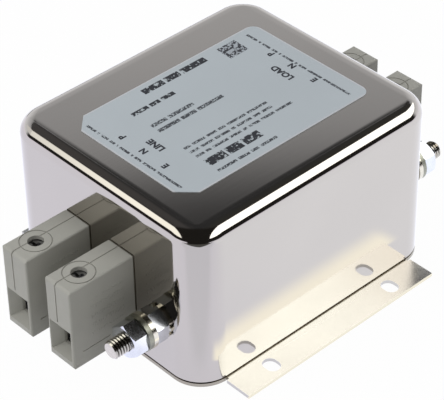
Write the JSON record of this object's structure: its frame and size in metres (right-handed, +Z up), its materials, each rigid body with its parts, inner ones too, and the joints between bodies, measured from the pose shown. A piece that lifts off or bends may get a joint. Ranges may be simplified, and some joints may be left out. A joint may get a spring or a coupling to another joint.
{
  "type": "single-phase emi line filter",
  "caption": "Bright metal can on a flanged base plate, with grey screw terminal blocks and an earth bolt at both ends, that filters noise on a mains supply.",
  "frame": {"origin": "centre of the can's footprint, on the underside of the base plate", "axes": "+X across the can from flange to flange, towards the side with the earth bolts; +Y along the can from the LINE end to the LOAD end; +Z up, out of the panel"},
  "size_m": [0.105, 0.1474, 0.0577],
  "materials": {
    "can_steel": "bright nickel-plated drawn steel, mirror smooth",
    "plate_steel": "bright nickel-plated flat steel",
    "label_film": "pale blue-grey satin film",
    "block_plastic": "moulded grey polyamide, fine satin grain",
    "collar_plastic": "moulded dark grey polyamide",
    "clamp_steel": "zinc-plated pressed steel",
    "screw_steel": "zinc-plated turned steel",
    "tinned_copper": "tinned copper, satin",
    "bolt_steel": "nickel-plated thread",
    "nut_zinc": "bright zinc-plated nut",
    "washer_steel": "bright plated flat steel",
    "spring_steel": "dull plated spring steel",
    "earth_wire": "green and yellow wire insulation with a tinned lug",
    "board_laminate": "green coated glass-fibre laminate",
    "pillar_plastic": "natural nylon",
    "core_ferrite": "coated ring core",
    "copper_wire": "enamelled copper wire",
    "x_cap_plastic": "yellow capacitor box",
    "y_cap_plastic": "blue capacitor box",
    "resistor_body": "lacquered resistor"
  },
  "bodies": {
    "enclosure": {"can": "can_steel", "base_plate": "plate_steel", "rating_label": "label_film", "line_p_shell_left": "block_plastic", "line_p_shell_right": "block_plastic", "line_p_current_bar": "tinned_copper", "line_p_collar": "collar_plastic", "line_p_board_link": "tinned_copper", "line_n_shell_left": "block_plastic", "line_n_shell_right": "block_plastic", "line_n_current_bar": "tinned_copper", "line_n_collar": "collar_plastic", "line_n_board_link": "tinned_copper", "load_p_shell_left": "block_plastic", "load_p_shell_right": "block_plastic", "load_p_current_bar": "tinned_copper", "load_p_collar": "collar_plastic", "load_p_board_link": "tinned_copper", "load_n_shell_left": "block_plastic", "load_n_shell_right": "block_plastic", "load_n_current_bar": "tinned_copper", "load_n_collar": "collar_plastic", "load_n_board_link": "tinned_copper", "line_earth_bolt": "bolt_steel", "line_toothed_washer": "washer_steel", "line_fixing_nut": "nut_zinc", "line_flat_washer": "washer_steel", "line_lock_washer": "spring_steel", "line_clamp_nut": "nut_zinc", "line_earth_lead": "earth_wire", "load_earth_bolt": "bolt_steel", "load_toothed_washer": "washer_steel", "load_fixing_nut": "nut_zinc", "load_flat_washer": "washer_steel", "load_lock_washer": "spring_steel", "load_clamp_nut": "nut_zinc", "load_earth_lead": "earth_wire", "circuit_board": "board_laminate", "board_pillars": "pillar_plastic", "choke_stand": "collar_plastic", "choke_core": "core_ferrite", "winding_p": "copper_wire", "winding_n": "copper_wire", "x_capacitor_line": "x_cap_plastic", "x_capacitor_load": "x_cap_plastic", "y_capacitor_line_p": "y_cap_plastic", "y_capacitor_line_n": "y_cap_plastic", "y_capacitor_load_p": "y_cap_plastic", "y_capacitor_load_n": "y_cap_plastic", "bleed_resistor": "resistor_body"},
    "line_p_screw": {"line_p_clamp_screw": "screw_steel"},
    "line_p_cage": {"line_p_clamp_cage": "clamp_steel"},
    "line_n_screw": {"line_n_clamp_screw": "screw_steel"},
    "line_n_cage": {"line_n_clamp_cage": "clamp_steel"},
    "load_p_screw": {"load_p_clamp_screw": "screw_steel"},
    "load_p_cage": {"load_p_clamp_cage": "clamp_steel"},
    "load_n_screw": {"load_n_clamp_screw": "screw_steel"},
    "load_n_cage": {"load_n_clamp_cage": "clamp_steel"}
  },
  "joints": [
    {"name": "line_p_screw_turn", "type": "hinge", "parent": "enclosure", "child": "line_p_screw", "pos_m": [-0.00975, -0.0654, 0.03], "axis": [0, 0, -1], "range_deg": [0, 3600]},
    {"name": "line_p_cage_lift", "type": "slide", "parent": "enclosure", "child": "line_p_cage", "axis": [0, 0, 1], "range_m": [0, 0.007]},
    {"name": "line_n_screw_turn", "type": "hinge", "parent": "enclosure", "child": "line_n_screw", "pos_m": [0.00975, -0.0654, 0.03], "axis": [0, 0, -1], "range_deg": [0, 3600]},
    {"name": "line_n_cage_lift", "type": "slide", "parent": "enclosure", "child": "line_n_cage", "axis": [0, 0, 1], "range_m": [0, 0.007]},
    {"name": "load_p_screw_turn", "type": "hinge", "parent": "enclosure", "child": "load_p_screw", "pos_m": [-0.00975, 0.0654, 0.03], "axis": [0, 0, -1], "range_deg": [0, 3600]},
    {"name": "load_p_cage_lift", "type": "slide", "parent": "enclosure", "child": "load_p_cage", "axis": [0, 0, 1], "range_m": [0, 0.007]},
    {"name": "load_n_screw_turn", "type": "hinge", "parent": "enclosure", "child": "load_n_screw", "pos_m": [0.00975, 0.0654, 0.03], "axis": [0, 0, -1], "range_deg": [0, 3600]},
    {"name": "load_n_cage_lift", "type": "slide", "parent": "enclosure", "child": "load_n_cage", "axis": [0, 0, 1], "range_m": [0, 0.007]}
  ],
  "couplings": [
    {"joint": "line_p_screw_turn", "follows": "line_p_cage_lift", "rad_per_m": 8975.9},
    {"joint": "line_n_screw_turn", "follows": "line_n_cage_lift", "rad_per_m": 8975.9},
    {"joint": "load_p_screw_turn", "follows": "load_p_cage_lift", "rad_per_m": 8975.9},
    {"joint": "load_n_screw_turn", "follows": "load_n_cage_lift", "rad_per_m": 8975.9}
  ]
}
